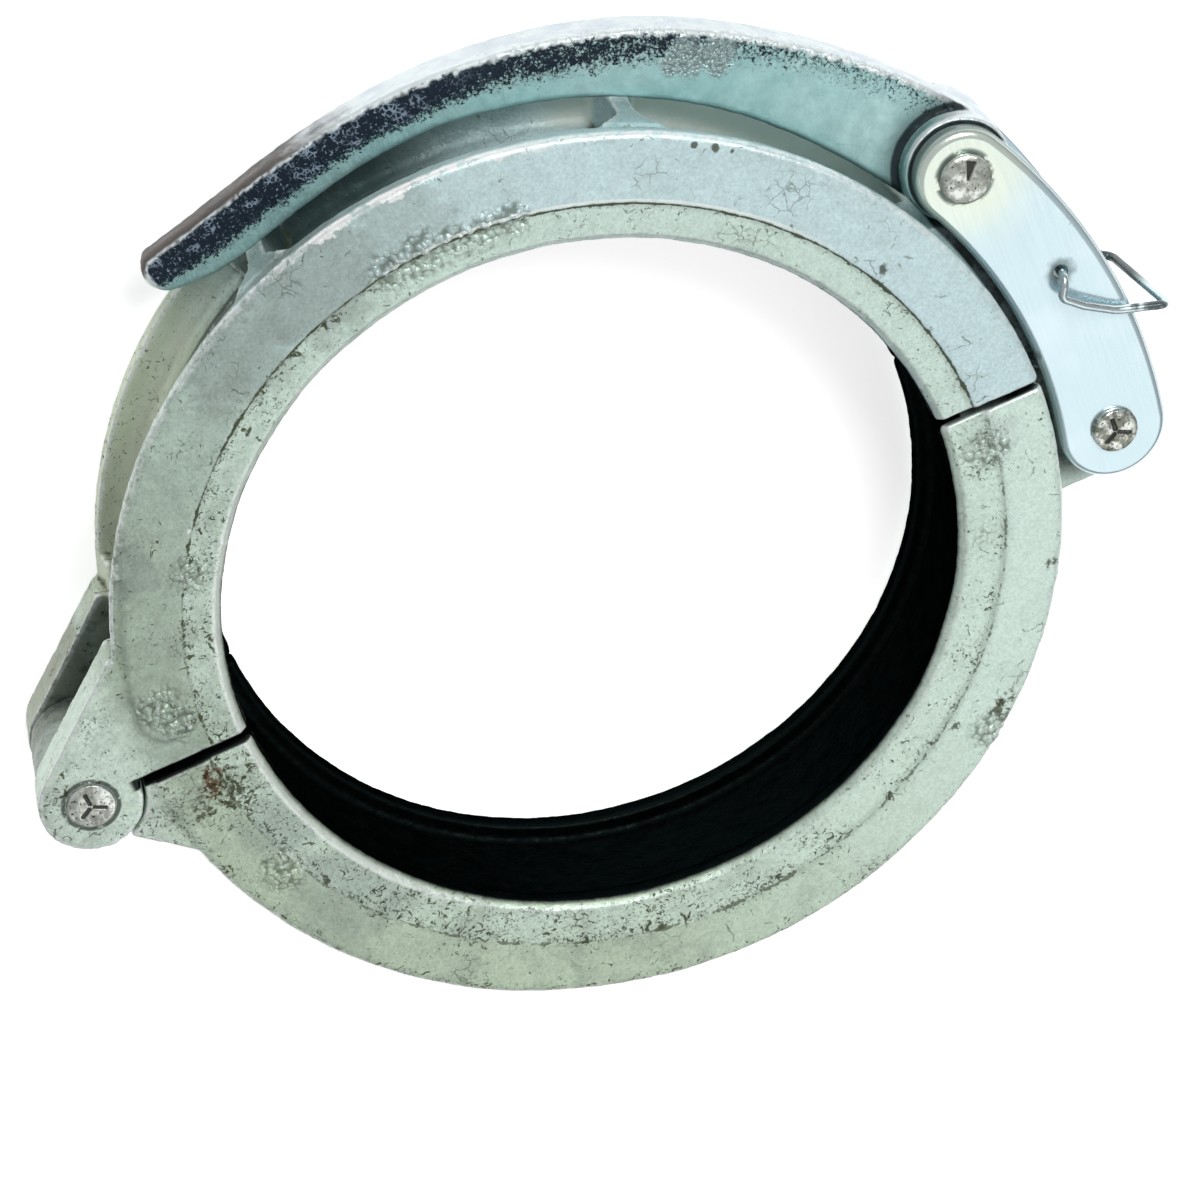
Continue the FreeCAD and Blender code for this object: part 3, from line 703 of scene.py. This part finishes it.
class CastingFinish(Finish):
    """Zinc plated casting: uneven pale plating, olive dirt, hairlines and worn edges, with painted
    highlights, painted light and shade in the channel and pocket, and painted near-black shade in the groove.
    """

    def __init__(self, looks, half):
        super().__init__(half.finish)
        self.looks, self.half = looks, half
        self.radius, self.turn, self.depth = (
            self.effect("Place On Ring", output) for output in ("Radius", "Turn", "Depth"))
        self.wear = self.kept("wear")
        # 0 at the lower left of the coupling and 1 at its upper right
        self.side = (self.x + self.y * 0.45).step(-125.0, 110.0)
        self.on_face = self.depth.step(24.9, 25.9)
        self.inner = self.on_face * self.radius.step(half.band_radius - 0.5, half.band_radius + 0.5, 1.0, 0.0)

    def build(self):
        """Paints all the marks in turn and gives the finished material."""
        self.lay_plating()
        self.shade_channel()
        self.gather_dirt()
        self.wear_edges()
        self.light_edges()
        self.shade_pocket()
        self.rust_and_chip()
        self.paint_black_shade()
        grain = self.effect("Cast Grain", "Height", Size=1.3)
        matt = self.most(self.dirt, self.rust)
        shiny = self.maths("SUBTRACT", 1.0, matt + self.lit_wall * 0.9, clamp=True)
        rough = self.noise(6.0, 5.0, 0.7).step(0.3, 0.7, 0.34, 0.52)
        raised = self.blistered * self.bead.step(0.1, 0.8, 3.0, 0.0)
        return self.hand_over(
            metallic=self.most(shiny * 0.45, self.black),
            roughness=self.maths("ADD", self.dirt * 0.3, rough, clamp=True),
            height=grain - self.dirt * 0.8 + raised, depth=0.00026, strength=0.6,
            dulled=self.most(self.black, matt * 0.85))

    def lay_plating(self):
        """The plating's tone from left to right, the inner band, soft smudges and the fine mottle."""
        left, right = (getattr(self.looks, name) for name in self.half.plating)
        lean = self.maths("ADD", self.noise(55.0, 3.0, 0.5) * 0.5, self.side - 0.25, clamp=True)
        self.colour = self.blend(lean, left, right)
        self.paint(self.x.step(-134.0, -148.0), HINGE_EYE, 0.85)
        self.paint(self.inner, self.blend(lean, BAND_ON_LEFT, self.looks.band), 0.8)
        smudge = self.noise(24.0, 7.0, 0.66, 0.3).step(0.48, 0.66)
        self.paint(smudge * self.side.step(0.15, 0.75, 0.42, 0.12), SMUDGE)
        for centre, size, share in self.half.smudges:
            self.paint(self.patch(centre, size, 9.0), ROUND_SMUDGE, share)
        mottle = self.noise(6.0, 7.0, 0.75).step(0.28, 0.72, self.side.step(0.1, 0.7, 0.78, 0.91), 1.10)
        self.shade(mottle * self.noise(0.9, 2.0, 0.6).step(0.3, 0.7, 0.90, 1.08))

    def shade_channel(self):
        """Painted shade in the channel between the rims, deepest under the lever; painted light on its part
        towards the hinge, a painted shadow deep in the channel at the upper left, and a darker rear cheek
        there.
        """
        # Painted shade: the whole channel is darkened, most under the lever, where its shadow falls.
        channel = self.radius.between(*CHANNEL_RADII) * self.depth.step(15.5, 14.0)
        shady = self.turn.between(*SHADY_TURNS) * self.z.step(4.0, -11.0, 0.4, 1.0)
        self.paint(channel * (shady * 0.79 + 0.2), CHANNEL_SHADE)
        # Painted light: the channel and rear rim towards the hinge are lightened where they lie in shade.
        self.behind = self.x.between(*PAINTED_LIGHT_ACROSS) * self.z.step(10.0, 0.0)
        self.paint(self.behind, CHANNEL_PAINTED_LIGHT, 0.7)
        # Painted shadow deep in the channel at the upper left.
        by_rim = channel * self.radius.step(138.0, 132.0)
        self.paint(by_rim * self.turn.between(*SHADOWED_TURNS), CHANNEL_SHADOW, 0.85)
        self.paint(self.x.step(-144.0, -150.0) * self.z.step(2.0, -4.0), REAR_CHEEK, 0.85)

    def gather_dirt(self):
        """Dirt along the band's step, in hollows, as specks and in hairlines."""
        half = self.half
        from_step = abs(self.radius - (self.noise(9.0, 5.0, 0.7) * 1.4 + (half.band_radius - 0.7)))
        rough_line = self.noise(6.0, 7.0, 0.75)
        broken = (rough_line + self.side * half.line_breaks).step(0.42, 0.56)
        reach = self.side * half.line_width + rough_line.step(0.45, 0.75, 0.02, 0.9)
        step_line = (from_step - reach).step(0.0, 0.28, 1.0, 0.0) * broken * self.on_face

        grimy = self.grime(from_step.step(1.0, 5.0, 1.0, 0.0) * self.on_face)
        specks = self.effect("Dirt Specks", Size=2.6, Amount=grimy, Cluster=22.0)
        fine = self.effect("Dirt Specks", Size=1.1, Amount=grimy + 0.1, Cluster=13.0)
        lines = self.effect("Hairlines", Cell=13.0, Width=0.24, Amount=0.33)
        cracked = [self.patch(centre, size, 4.0) for centre, size in half.cracks]
        cracked = self.most(*cracked, self.noise(24.0, 2.0).step(0.60, 0.68))
        net = self.effect("Hairlines", Cell=4.2, Width=0.22, Amount=0.62) * cracked
        hollow = self.wear.step(-0.08, -0.40) * self.noise(3.0, 5.0).step(0.36, 0.60)
        self.blistered = self.most(*(self.patch(centre, size * 1.1, 5.0) for centre, size in half.blisters))
        self.bead = self.beads(0.5, 0.52)
        crevice = self.blistered * self.bead.step(0.50, 0.78)
        self.dirt = self.most(step_line * half.line_strength, specks * 0.92, fine * 0.85, lines * 0.7,
                              net * 0.55, hollow * 0.8, crevice * 0.62)
        self.paint(self.dirt, self.blend(self.noise(5.0), self.looks.dirt, GREEN_DIRT))

    def grime(self, near_step):
        """How thickly specks lie: more on the left, on the inner band, near its step and near the rim."""
        near_rim = self.radius.step(136.0, 141.0) * self.depth.step(21.0, 25.0)
        grimy = (self.inner * 0.42 + self.side * -0.42 + 0.66 + self.behind * 0.2 + near_step * 0.25
                 + near_rim * self.half.dirt_by_rim)
        for centre, size in self.half.grime:
            grimy += self.patch(centre, size, 8.0) * 0.42
        return grimy

    def wear_edges(self):
        """Worn edges show bare bright metal, with a long ragged chip on the upper left of the front rim that
        is also a painted highlight along the rim's edge.
        """
        chipped = self.wear.step(0.14, 0.38) * self.noise(2.6, 4.0, 0.7).step(0.36, 0.56)
        # The ragged band along the upper front rim: worn metal, and a painted highlight.
        torn = self.noise(3.2, 5.0, 0.7) * 6.0 - 3.0 + self.noise(13.0).step(0.44, 0.60, -2.0, 1.2)
        scuffed_lit = (self.radius + torn).step(140.1, 140.8) * self.depth.step(24.0, 26.0)
        scuffed_lit *= self.turn.between(*SCUFFED_LIT_TURNS)
        self.paint(self.most(chipped * 0.8, scuffed_lit * 0.85), self.blend(scuffed_lit, CHIPPED_EDGE, SCUFFED_LIT_RIM))

    def light_edges(self):
        """Painted highlights on the edge of the band and on the bore's lip, and painted light on the plain
        rear wall under the lever, where the lever's shadow falls.
        """
        # Painted highlights along the band's step and on the bore's lip.
        lit = abs(self.radius - (self.half.band_radius + 1.0)).step(0.75, 0.25)
        lit *= self.on_face * self.turn.between(*LIT_TURNS)
        lip_highlight = self.radius.step(113.6, 112.4) * self.depth.step(24.6, 25.8) * abs(self.turn).step(120.0, 150.0)
        self.paint(self.most(lit * 0.8, lip_highlight * 0.75), LIT_EDGE)
        # Painted light: the rear wall under the lever is lightened where the lever's shadow falls.
        self.lit_wall = self.z.step(-10.5, -12.5) * self.radius.step(123.0, 126.0)
        self.lit_wall *= self.turn.between(*REAR_WALL_TURNS)
        self.paint(self.lit_wall, LIT_REAR_WALL, 0.85)

    def shade_pocket(self):
        """Painted shade in the pocket beside the hinge, and a darker ring round the hinge's pin."""
        # Painted shade in the pocket between the hinge's cheeks.
        pocket = self.depth.step(13.6, 12.4) * abs(self.turn).step(146.0, 152.0)
        self.paint(pocket * self.noise(8.0, 6.0, 0.7).step(0.30, 0.55, 0.88, 0.55), POCKET_SHADE)
        groove = abs(self.from_axis(HINGE) - 8.1).step(1.0, 0.4)
        self.paint(groove * self.noise(3.0, 4.0, 0.7).step(0.30, 0.46), HINGE_RING_DARK, 0.85)

    def rust_and_chip(self):
        """Rust beside the hinge, with a darker core, and small dark chips and moss."""
        eaten = self.noise(2.8, 5.0, 0.75).step(0.44, 0.54) if self.half.eaten else 1.0
        rust = [self.mark(centre, 1.2 * size, 6.0, eaten, self.looks.rust) for centre, size in self.half.rust]
        if rust:
            self.paint(self.most(*rust) * self.noise(2.0, 4.0).step(0.44, 0.56), RUST_CORE)
        chips = [self.mark(centre, size, 1.6 * size, eaten, MOSS) for centre, size in self.half.chips]
        self.rust = self.most(*rust, *chips)

    def mark(self, centre, size, ragged, eaten, colour):
        """Paints one ragged patch and gives its mask."""
        mask = self.patch(centre, size, ragged) * eaten
        self.paint(mask, colour, 0.85)
        return mask

    def paint_black_shade(self):
        """Painted shade: near-black in the groove, between the halves and beside the links, where shade
        falls.
        """
        from_joint = abs(self.y - JOINT_HEIGHT) + self.x.step(-100.0, 100.0, -0.2, 0.5)
        meeting = from_joint.step(2.1, 1.3) * self.radius.step(149.0, 147.0)
        inside = self.radius.step(118.5, 117.0) * self.depth.step(25.4, 23.8)
        linked = self.radius.between(*LINK_RADII) * self.turn.between(*LINK_TURNS)
        patchy_shadow = self.depth.step(26.6, 25.2) * self.noise(7.0, 5.0, 0.7).step(0.38, 0.62, 0.97, 0.87)
        self.black = self.most(inside, meeting * 0.97, linked * patchy_shadow)
        self.paint(self.black, self.looks.black)


class LeverFinish(Finish):
    """Darkened and crackled face over a teal foot, painted light on the top and a painted highlight on the
    upper rounded edge, a rusty top at the tip, and painted shadow by the boss and along the lower edge.
    """

    def __init__(self, looks):
        super().__init__("Lever plating")
        self.looks = looks
        self.turn = self.effect("Place On Ring", "Turn")
        self.across, self.wear = self.kept("across"), self.kept("wear")
        self.front = self.facing()
        self.face = self.front.step(0.75, 0.92)
        self.tip = self.turn.step(77.0, 90.0)
        torn = self.noise(5.0, 8.0, 0.85) * 0.6 + self.noise(1.1, 4.0, 0.8) * 0.7 - 0.65
        self.height_on_bar = self.across + torn

    def build(self):
        """Paints all the marks in turn and gives the finished material."""
        self.lay_teal()
        self.darken_face()
        self.raise_pebbles()
        self.streak_foot()
        self.brighten_edges()
        self.rust_tip()
        self.shade_corner()
        worn = self.most(self.dark * self.face, self.rusty)
        raised = self.pebbled * self.bead.step(0.1, 0.7, 3.0, 0.0)
        return self.hand_over(
            metallic=worn.step(0.0, 1.0, 0.5, 0.2),
            roughness=self.noise(3.0, 4.0, 0.7).step(0.3, 0.7, 0.28, 0.5),
            height=self.dark * -0.8 + self.effect("Cast Grain", "Height", Size=1.0) * 0.8 + raised,
            depth=0.0003, strength=0.7, dulled=worn * 0.7)

    def lay_teal(self):
        """The plating of the whole lever, with painted light making it paler by the boss."""
        self.colour = self.blend(self.noise(20.0, 4.0).step(0.35, 0.65), self.looks.teal, LIGHT_TEAL)
        # Painted light: the teal is lightened by the boss, where the plate shades it.
        self.paint(self.turn.step(50.0, 34.0), LIT_TEAL_BY_BOSS, 0.25)
        self.shade(self.noise(5.0, 6.0, 0.7).step(0.3, 0.7, 0.88, 1.08))

    def darken_face(self):
        """Specks crowd on the upper part of the face: solid navy by the tip, thinner towards the boss."""
        lowest = self.turn.step(74.0, 42.0, 0.32, 0.68)
        climb = self.maths("DIVIDE", self.height_on_bar - lowest, 0.25, clamp=True)
        crowd = self.tip * 0.5 + climb * self.turn.step(34.0, 92.0, 0.30, 0.66)
        net = self.effect("Crackle", Cell=1.5, Width=0.26)
        mixed = self.noise(0.8, 5.0, 0.8) * 0.55 + self.noise(2.6, 5.0, 0.75) * 0.45 + net * 0.07
        self.dark = (mixed + crowd * 0.30).step(0.63, 0.68) * climb.step(0.0, 0.15)
        self.paint(climb * self.turn.between(46.0, 62.0, 78.0, 86.0), THIN_PLATING, 0.5)
        reach = self.height_on_bar + self.turn.step(40.0, 75.0, -0.30, 0.02)
        soft = self.noise(1.3, 5.0, 0.8).step(0.46, 0.58) * reach.step(0.34, 0.62)
        self.paint(soft * self.turn.step(30.0, 44.0) * self.face, FACE_SPECKS, 0.85)
        self.paint(self.dark * self.face, self.looks.navy)
        glints = net * self.tip * self.noise(5.0, 4.0).step(0.52, 0.60)
        flecks = self.tip * self.noise(0.9, 3.0, 0.7).step(0.60, 0.65)
        high = self.height_on_bar.step(0.40, 0.50) * self.face
        self.paint(self.most(glints, flecks) * high, TIP_GLINTS, 0.85)

    def raise_pebbles(self):
        """A patch of pale beads in the middle of the bar."""
        self.pebbled = self.most(*(self.patch(centre, size, 4.0) for centre, size in PEBBLES))
        self.bead = self.beads(0.8, 0.95)
        self.paint(self.pebbled, PEBBLE, 0.8)
        self.paint(self.pebbled * self.bead.step(0.50, 0.72), BETWEEN_PEBBLES, 0.75)

    def streak_foot(self):
        """Faint streaks on the lower part of the face, towards the tip."""
        streak = self.noise(0.9, 5.0, 0.75, point=self.stretched(1.0, 0.4, 1.0))
        lower_part = self.height_on_bar.step(0.44, 0.20) * self.tip * self.face
        self.paint(lower_part, self.blend(streak.step(0.42, 0.62), DARK_STREAK, LIGHT_STREAK), 0.30)

    def brighten_edges(self):
        """Painted light on the top, and a painted highlight along the upper edge."""
        out = self.vector("NORMALIZE", self.stretched(1.0, 1.0, 0.0))
        self.outward = self.measure("DOT_PRODUCT", out, self.normal)
        pale = self.blend(self.noise(9.0, 4.0).step(0.35, 0.65), self.looks.pale, LIT_TOP_BLUE)
        # Painted light: the outward-facing top is painted pale.
        self.paint(self.outward.step(0.35, 0.75), pale)
        # Painted highlight along the upper edge, where its rounding catches the light.
        edge = self.wear.step(0.12, 0.34) * self.noise(2.2, 4.0).step(0.30, 0.46)
        self.paint(edge * self.across.step(0.2, 0.45), self.looks.pale, 0.92)

    def rust_tip(self):
        """Streaks of rust on top of the tip, and a painted shadow line along the lower edge."""
        streaks = self.noise(5.0, 6.0, 0.7, point=self.stretched(0.35, 1.0, 0.5))
        self.rusty = self.outward.step(0.25, 0.6) * (self.turn + streaks * 16.0).step(101.0, 110.0)
        self.paint(self.rusty, self.blend(streaks.step(0.35, 0.65), self.looks.brown, DEEP_RUST), 0.9)
        # Painted shadow: a dark line along the lower edge, where the gap under the lever is in shade.
        self.paint(self.across.step(0.07, 0.01) * self.front.step(0.2, 0.6), LOWER_EDGE_SHADOW, 0.7)

    def shade_corner(self):
        """Painted shadow in the corner where the bar meets the boss, and painted shade under the link plates.
        """
        from_pin = self.from_axis(LEVER_PIN)
        corner = self.most(from_pin.step(26.0, 17.0) * 0.6, from_pin.step(20.0, 18.2))
        corner *= from_pin.step(15.4, 16.2) * self.front.step(0.3, 0.7)
        # Painted shadow by the boss and painted shade under the plates.
        self.paint(self.most(corner, from_pin.step(15.3, 14.9) * self.face), CORNER_SHADOW, 0.97)


def plate_finish(looks):
    """Bright zinc plate with faint rolling marks, and a yellowed patch round the lever's pin."""
    bench = Finish("Bright link plating")
    bench.colour = bench.blend(bench.noise(30.0).step(0.35, 0.7), looks.plate, BLUE_PLATE)
    from_pin = bench.from_axis(LEVER_PIN)
    bench.paint((from_pin + bench.noise(12.0) * 9.0).step(32.0, 12.0, 0.0, 0.8), looks.cream)
    drawn = {"Vector": bench.point, "Rotation": (0.0, 0.0, 0.17), "Scale": (1.2, 0.04, 1.2)}
    streaks = bench.noise(1.0, 4.0, 0.5, point=bench.put("Mapping", drawn).outputs[0])
    specks = bench.effect("Dirt Specks", Size=5.0, Amount=0.06, Cluster=25.0)
    near_hole = (bench.from_axis(CLIP_HOLE) + bench.noise(3.0) * 4.0).step(7.5, 4.0)
    # Painted reflection: the rounded edges are darkened as if they reflected a dark horizon.
    rounded = bench.facing().step(0.80, 0.25)
    # Painted shadow: a dark ring round the lever pin's head.
    pin_ring_shadow = from_pin.step(9.4, 8.2) * bench.noise(5.0).step(0.40, 0.52)
    # Dirt in the specks and by the clip's hole, with the painted reflection on the edges and the painted
    # shadow round the pin.
    dirt = bench.most(specks * 0.6, near_hole * 0.75, rounded * 0.8, pin_ring_shadow * 0.9)
    bench.paint(dirt, PLATE_DIRT_AND_SHADE)
    return bench.hand_over(
        metallic=dirt * -0.5 + 0.75, roughness=streaks.step(0.3, 0.7, 0.17, 0.23),
        height=bench.noise(22.0, 1.0), depth=0.0006, strength=0.25)


def pin_finish(name, looks, sooty):
    """Bright steel, dulled in its hollows; sooty sets how dark the marks are."""
    bench = Finish(name)
    cloud = bench.noise(3.6, 3.0, 0.6)
    bench.colour = bench.blend(cloud.step(0.42, 0.58) * (0.3 + 0.8 * sooty), looks.pin, PIN_BLOTCH)
    stain = bench.noise(2.6, 5.0, 0.7).step(0.54, 0.58) * sooty
    # Darker in the hollows, in stains and in the head's wedge notch.
    dark = bench.most(bench.kept("wear").step(-0.09, -0.26), stain, bench.kept("cut"))
    bench.paint(dark, PIN_DARK_MARKS, 0.95)
    return bench.hand_over(
        metallic=dark * -0.6 + 0.9, roughness=cloud.step(0.3, 0.7, 0.22, 0.42),
        height=cloud, depth=0.00015, strength=0.5)


def wire_finish(looks):
    """Drawn spring wire: bright, with dark lengths in patches and towards the back."""
    bench = Finish("Spring wire")
    bare = bench.most(bench.noise(11.0).step(0.54, 0.62), bench.z.step(10.0, -6.0))
    fine = bench.noise(1.6, 2.0)
    bench.colour = bench.blend(bare * 0.9, looks.wire, DARK_WIRE)
    return bench.hand_over(
        metallic=bare * -0.6 + 1.0, roughness=fine.step(0.3, 0.7, 0.16, 0.34),
        height=fine, depth=0.00005, strength=0.3)


# Pieces

def cast_half(looks, half):
    """One half with a cast skin: soft edges, mould marks and blister patches."""
    material = CastingFinish(looks, half).build()
    piece = merged_copy(half.node, half.piece)
    new_skin(piece, looks.skin_step, looks.softening)
    relief(piece, "waves", size=0.030, height=looks.wave_height)
    relief(piece, "lumps", size=0.0065, height=looks.lump_height, noise_depth=2)
    relief(piece, "grain", size=0.0020, height=looks.grain_height)
    dab(piece, "blisters", half.blisters)
    relief(piece, "blisters", size=0.0026, height=-looks.blister_height, kind="VORONOI",
           group="blisters", middle=0.55)
    piece.vertex_groups.clear()
    thin_out(piece)
    store_wear(piece)
    stand_for(piece, half.node, half.body, material)


class COUPLING_OT_stage(bpy.types.Operator):
    """Sets out the floor, the soft light and the camera"""

    bl_idname = "coupling.stage"
    bl_label = "Stage"

    def execute(self, context):
        looks = context.scene.coupling_stage
        self.floor(looks)
        self.sky(context, looks)
        self.lamp(context, "Key Lamp", *KEY_LAMP, looks.key_light)
        self.lamp(context, "Fill Lamp", *FILL_LAMP, looks.fill_light)
        self.camera(context, looks)
        context.scene.view_settings.view_transform = "Standard"
        return {"FINISHED"}

    def floor(self, looks):
        bpy.ops.object.select_all(action="DESELECT")
        bpy.ops.mesh.primitive_plane_add(size=FLOOR_SIZE, location=(0.0, 0.0, -HALF_WIDTH * MM))
        floor = bpy.context.active_object
        floor.name = "Floor"
        bpy.ops.object.transform_apply(location=True, rotation=False, scale=False)
        bench = Finish("Pale floor")
        rays = bench.put("LightPath", {}).outputs
        seen = bench.most(rays["Is Camera Ray"], rays["Is Glossy Ray"])
        floor.data.materials.append(bench.join({
            "Base Color": looks.floor, "Roughness": 0.9, "Specular IOR Level": 0.1, "Emission Color": WHITE,
            "Emission Strength": seen * 0.6}))

    def sky(self, context, looks):
        """Soft light that grows from the horizon to overhead, in front of plain white."""
        world = bpy.data.worlds.new("Studio")
        world.use_nodes = True
        context.scene.world = world
        bench = Bench(world.node_tree)
        background = bench.ready_made("BACKGROUND")
        rays = bench.put("LightPath", {}).outputs
        up = bench.parts(bench.put("TexCoord", {}).outputs["Generated"])[2]
        light = up.step(0.0, 0.75, looks.low_light, looks.sky_light)
        strength = bench.put("Mix", {0: rays["Is Camera Ray"], 2: light, 3: 1.0}, data_type="FLOAT")
        bench.feed(background["Color"], WHITE)
        bench.feed(background["Strength"], strength.outputs[0])

    def lamp(self, context, name, place, size, power):
        data = bpy.data.lights.new(name, "AREA")
        data.shape = "DISK"
        data.size = size
        data.energy = power
        lamp = bpy.data.objects.new(name, data)
        lamp.location = place
        lamp.rotation_euler = (-Vector(place)).to_track_quat("-Z", "Y").to_euler()
        context.scene.collection.objects.link(lamp)

    def camera(self, context, looks):
        data = bpy.data.cameras.new("Camera")
        data.lens = looks.lens
        data.sensor_width = SENSOR_WIDTH
        camera = bpy.data.objects.new("Camera", data)
        camera.location = CAMERA_PLACE
        camera.rotation_euler = Euler([math.radians(a) for a in CAMERA_TURN], "XYZ")
        context.scene.collection.objects.link(camera)
        context.scene.camera = camera


class COUPLING_OT_upper_casting(bpy.types.Operator):
    """Dresses the upper half of the coupling"""

    bl_idname = "coupling.upper_casting"
    bl_label = "Upper Casting"

    def execute(self, context):
        cast_half(context.scene.coupling_castings, UpperHalf)
        return {"FINISHED"}


class COUPLING_OT_lower_casting(bpy.types.Operator):
    """Dresses the lower half of the coupling"""

    bl_idname = "coupling.lower_casting"
    bl_label = "Lower Casting"

    def execute(self, context):
        cast_half(context.scene.coupling_castings, LowerHalf)
        return {"FINISHED"}


class COUPLING_OT_lever(bpy.types.Operator):
    """Dresses the lever with its hammered face"""

    bl_idname = "coupling.lever"
    bl_label = "Lever"

    def execute(self, context):
        looks = context.scene.coupling_lever
        piece = merged_copy("lever", "lever_casting")
        new_skin(piece, looks.skin_step, softening=3)
        store_across(piece)
        relief(piece, "waves", size=0.022, height=0.0005)
        relief(piece, "lumps", size=0.0035, height=looks.hammer_height, noise_depth=1)
        relief(piece, "grain", size=0.0012, height=0.00012)
        thin_out(piece)
        store_wear(piece)
        stand_for(piece, "lever", "lever", LeverFinish(looks).build())
        return {"FINISHED"}


class COUPLING_OT_link_plates(bpy.types.Operator):
    """Plates the two links"""

    bl_idname = "coupling.link_plates"
    bl_label = "Link Plates"

    def execute(self, context):
        material = plate_finish(context.scene.coupling_steel)
        for node in ("front_link_plate", "rear_link_plate"):
            coat(frame["nodes"][node], material)
        return {"FINISHED"}


class COUPLING_OT_pins(bpy.types.Operator):
    """Dresses the hinge pin and the two pins of the link"""

    bl_idname = "coupling.pins"
    bl_label = "Pins"

    def execute(self, context):
        looks = context.scene.coupling_steel
        for pin in PINS:
            piece = merged_copy(pin.node, pin.piece)
            new_skin(piece, looks.pin_step, softening=2)
            dome_heads(piece, pin)
            relief(piece, "dents", size=0.0030, height=0.0004)
            thin_out(piece)
            store_wear(piece, blurs=1)
            material = pin_finish(pin.piece + " steel", looks, pin.sooty)
            stand_for(piece, pin.node, pin.body, material)
        return {"FINISHED"}


class COUPLING_OT_safety_clip(bpy.types.Operator):
    """Gives the wire clip its bright finish"""

    bl_idname = "coupling.safety_clip"
    bl_label = "Safety Clip"

    def execute(self, context):
        coat(frame["nodes"]["safety_clip"], wire_finish(context.scene.coupling_steel))
        return {"FINISHED"}


class COUPLING_PT_looks(bpy.types.Panel):
    """Lists the looks of each piece and the steps that build them"""

    bl_label = "Pipe Coupling"
    bl_idname = "COUPLING_PT_looks"
    bl_space_type = "VIEW_3D"
    bl_region_type = "UI"
    bl_category = "Coupling"

    def draw(self, context):
        for group in GROUPS:
            box = self.layout.box()
            looks = getattr(context.scene, group)
            for key in looks.bl_rna.properties.keys():
                if key not in ("rna_type", "name"):
                    box.prop(looks, key)
        for step in STEPS:
            self.layout.operator("coupling." + step)


GROUPS = {"coupling_castings": CastingLooks, "coupling_lever": LeverLooks, "coupling_steel": SteelLooks,
          "coupling_stage": StageLooks}
STEPS = ("stage", "upper_casting", "lower_casting", "lever", "link_plates", "pins", "safety_clip")
CLASSES = (*GROUPS.values(), COUPLING_OT_stage, COUPLING_OT_upper_casting, COUPLING_OT_lower_casting,
           COUPLING_OT_lever, COUPLING_OT_link_plates, COUPLING_OT_pins, COUPLING_OT_safety_clip,
           COUPLING_PT_looks)


def register():
    for made in CLASSES:
        bpy.utils.register_class(made)
    for name, kind in GROUPS.items():
        setattr(bpy.types.Scene, name, bpy.props.PointerProperty(type=kind))


def unregister():
    for name in GROUPS:
        delattr(bpy.types.Scene, name)
    for made in reversed(CLASSES):
        bpy.utils.unregister_class(made)


def main():
    register()
    for step in STEPS:
        getattr(bpy.ops.coupling, step)()


if __name__ == "__main__":
    main()
